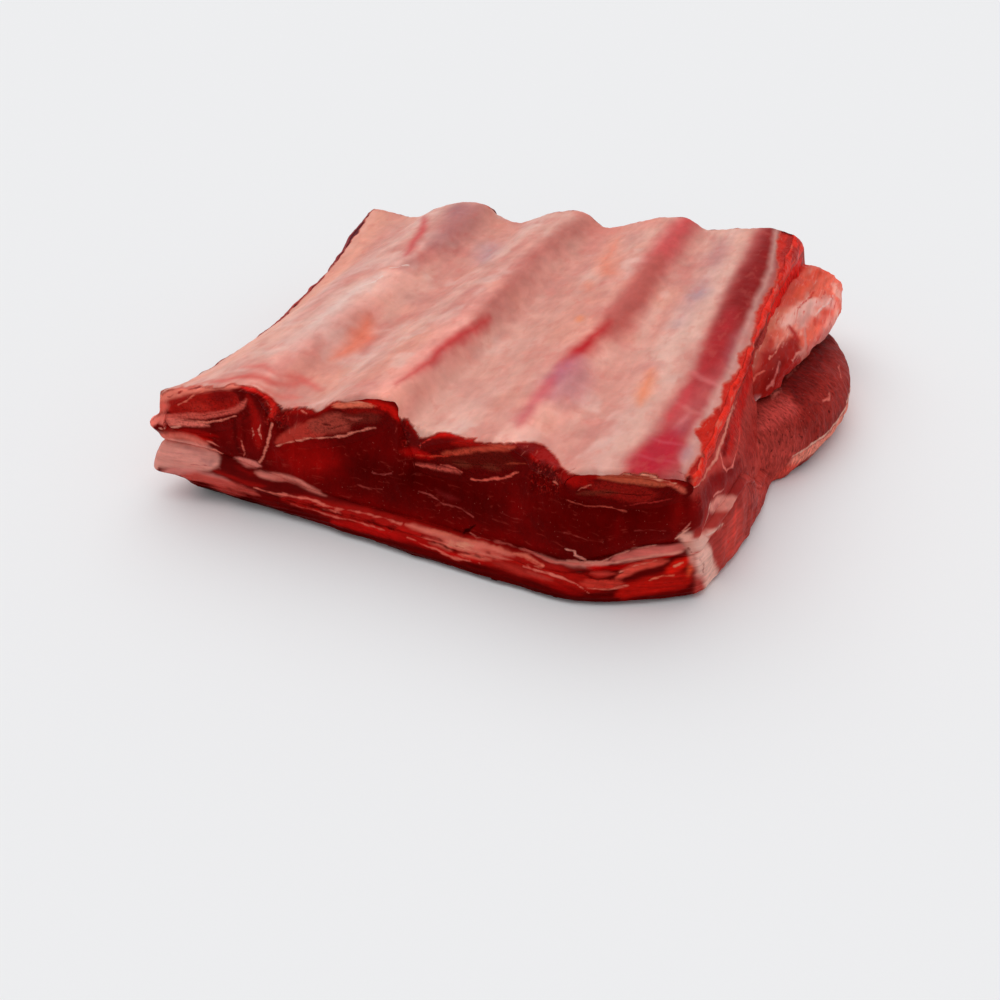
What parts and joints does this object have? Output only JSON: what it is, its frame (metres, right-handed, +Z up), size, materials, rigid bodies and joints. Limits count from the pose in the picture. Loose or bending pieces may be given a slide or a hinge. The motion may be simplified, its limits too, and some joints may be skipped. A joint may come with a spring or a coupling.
{
  "type": "beef rib slab",
  "caption": "Square-cut slab of raw beef ribs lying bone side up: flat rib bones under a thin rippled skin, over layers of muscle and fat that show at the cut sides.",
  "frame": {"origin": "middle of the slab's footprint, on the table", "axes": "+X across the ribs, towards the side with the bulging lobe; +Y along the ribs, from the cut front to the back; +Z up, out of the skin over the bones"},
  "size_m": [0.2888, 0.263, 0.0667],
  "materials": {
    "skin": "moist thin skin, pink and cream with magenta streaks beside each rib",
    "bone": "sawn bone, pale hard rim round dark red spongy marrow",
    "dark_meat": "moist deep red muscle with fine pale marbling",
    "red_meat": "moist bright red muscle in flaky layers with thin fat",
    "grain_meat": "muscle cut across the grain, fine short dashes",
    "fat": "soft pale pink fat, waxy, with red streaks"
  },
  "bodies": {
    "root": {"rib_meat": "skin", "rib_bone_1": "bone", "rib_bone_2": "bone", "rib_bone_3": "bone", "rib_bone_4": "bone", "main_muscle": "dark_meat", "fat_seam": "fat", "lower_muscle": "red_meat", "outer_muscle": "grain_meat", "fat_flap": "fat"}
  },
  "joints": []
}
